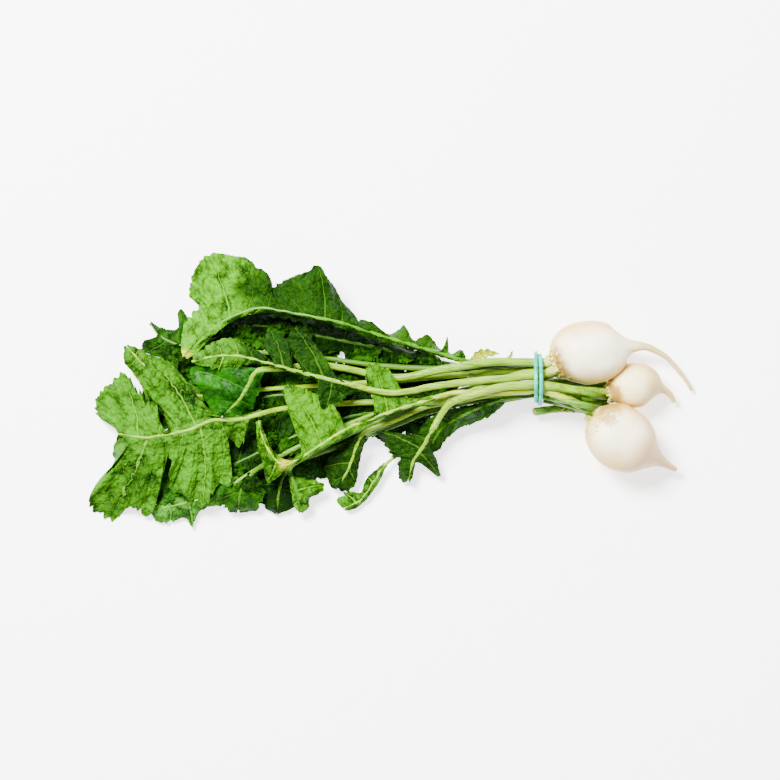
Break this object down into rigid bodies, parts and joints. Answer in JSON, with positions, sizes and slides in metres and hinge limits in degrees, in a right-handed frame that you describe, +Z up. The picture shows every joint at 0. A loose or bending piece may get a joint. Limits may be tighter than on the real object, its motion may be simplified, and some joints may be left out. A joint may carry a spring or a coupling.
{
  "type": "turnip bunch",
  "caption": "Bunch of small white salad turnips with their leaves, tied at the stems with a rubber band and lying on its side.",
  "frame": {"origin": "middle of the bunch's box in plan, at the height of the surface it lies on", "axes": "+X along the bunch towards the roots, +Y across the bunch towards the largest root, +Z up"},
  "size_m": [0.4522, 0.208, 0.0472],
  "materials": {
    "root_skin": "satin",
    "root_skin_cream": "satin",
    "stem_pale": "satin",
    "leaf_bright": "satin",
    "leaf_green": "satin",
    "leaf_silver": "satin",
    "leaf_dark": "satin",
    "rubber_turquoise": "satin"
  },
  "bodies": {
    "root": {"root_1": "root_skin", "root_2": "root_skin_cream", "root_3": "root_skin", "torn_stem": "stem_pale", "leaf_top": "leaf_bright", "leaf_centre": "leaf_bright", "leaf_pale_low": "leaf_bright", "leaf_wide": "leaf_green", "leaf_lobed": "leaf_green", "leaf_silver": "leaf_silver", "leaf_glossy": "leaf_dark", "leaf_curled": "leaf_dark", "leaf_hanging": "leaf_dark", "leaf_right_edge": "leaf_dark", "leaf_lower_mid": "leaf_dark", "leaf_small_tip": "leaf_dark", "leaf_bottom_edge": "leaf_dark", "leaf_far_left": "leaf_dark", "leaf_far_top": "leaf_dark", "leaf_under_top": "leaf_dark", "leaf_under_middle": "leaf_dark", "leaf_under_low": "leaf_dark", "rubber_band": "rubber_turquoise"}
  },
  "joints": []
}
